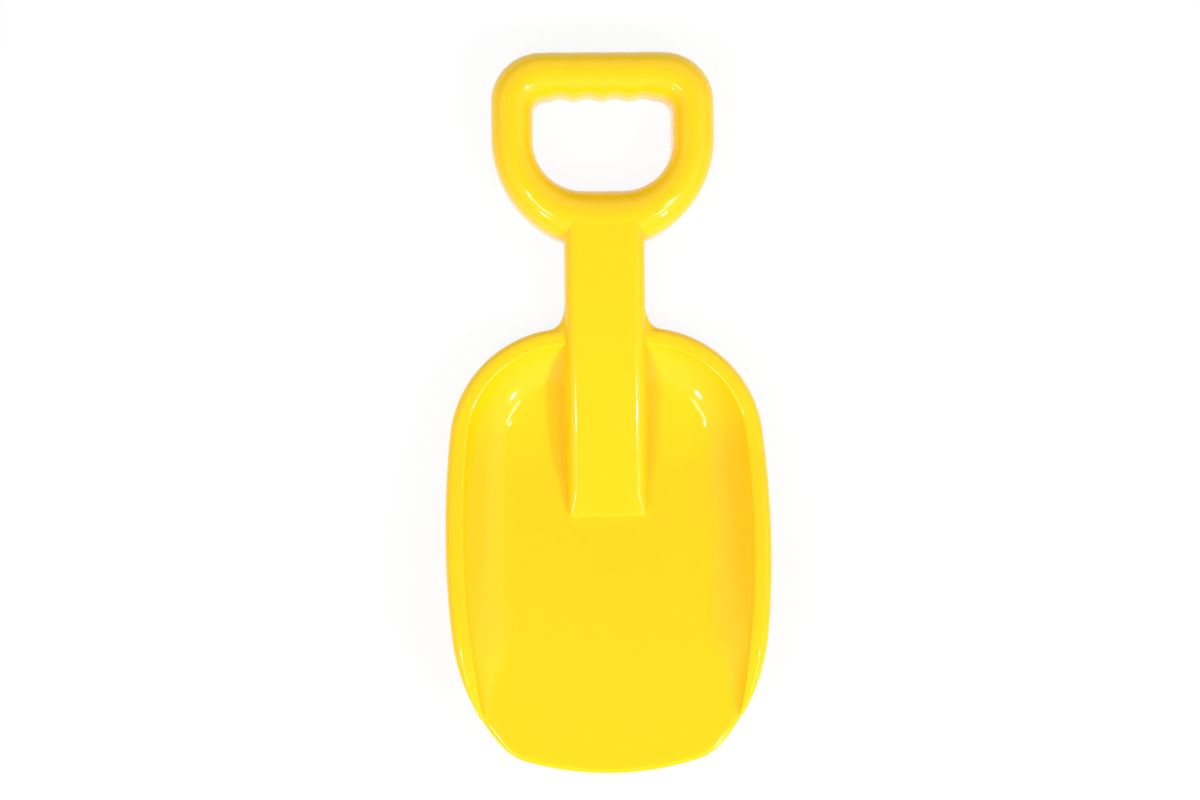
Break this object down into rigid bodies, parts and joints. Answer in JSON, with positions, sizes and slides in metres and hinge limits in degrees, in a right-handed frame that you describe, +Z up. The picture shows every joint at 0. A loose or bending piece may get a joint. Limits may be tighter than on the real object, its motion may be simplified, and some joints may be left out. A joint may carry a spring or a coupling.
{
  "type": "sand shovel",
  "caption": "Moulded plastic sand shovel: a dished pan with a rolled rim and thin front lip, a hollow shaft running into it, and a ring grip with finger recesses.",
  "frame": {"origin": "bottom centre of the bounding box, on the surface that the shovel lies on", "axes": "+X to the right, +Y along the shovel from the pan to the grip, +Z up out of the pan's hollow"},
  "size_m": [0.1492, 0.3294, 0.039],
  "materials": {
    "yellow_plastic": "smooth glossy moulded polypropylene, coloured through"
  },
  "bodies": {
    "root": {"pan": "yellow_plastic", "left_rim": "yellow_plastic", "right_rim": "yellow_plastic", "shaft": "yellow_plastic", "grip_yoke": "yellow_plastic", "finger_bar": "yellow_plastic", "shaft_ribs": "yellow_plastic", "grip_ribs": "yellow_plastic"}
  },
  "joints": []
}
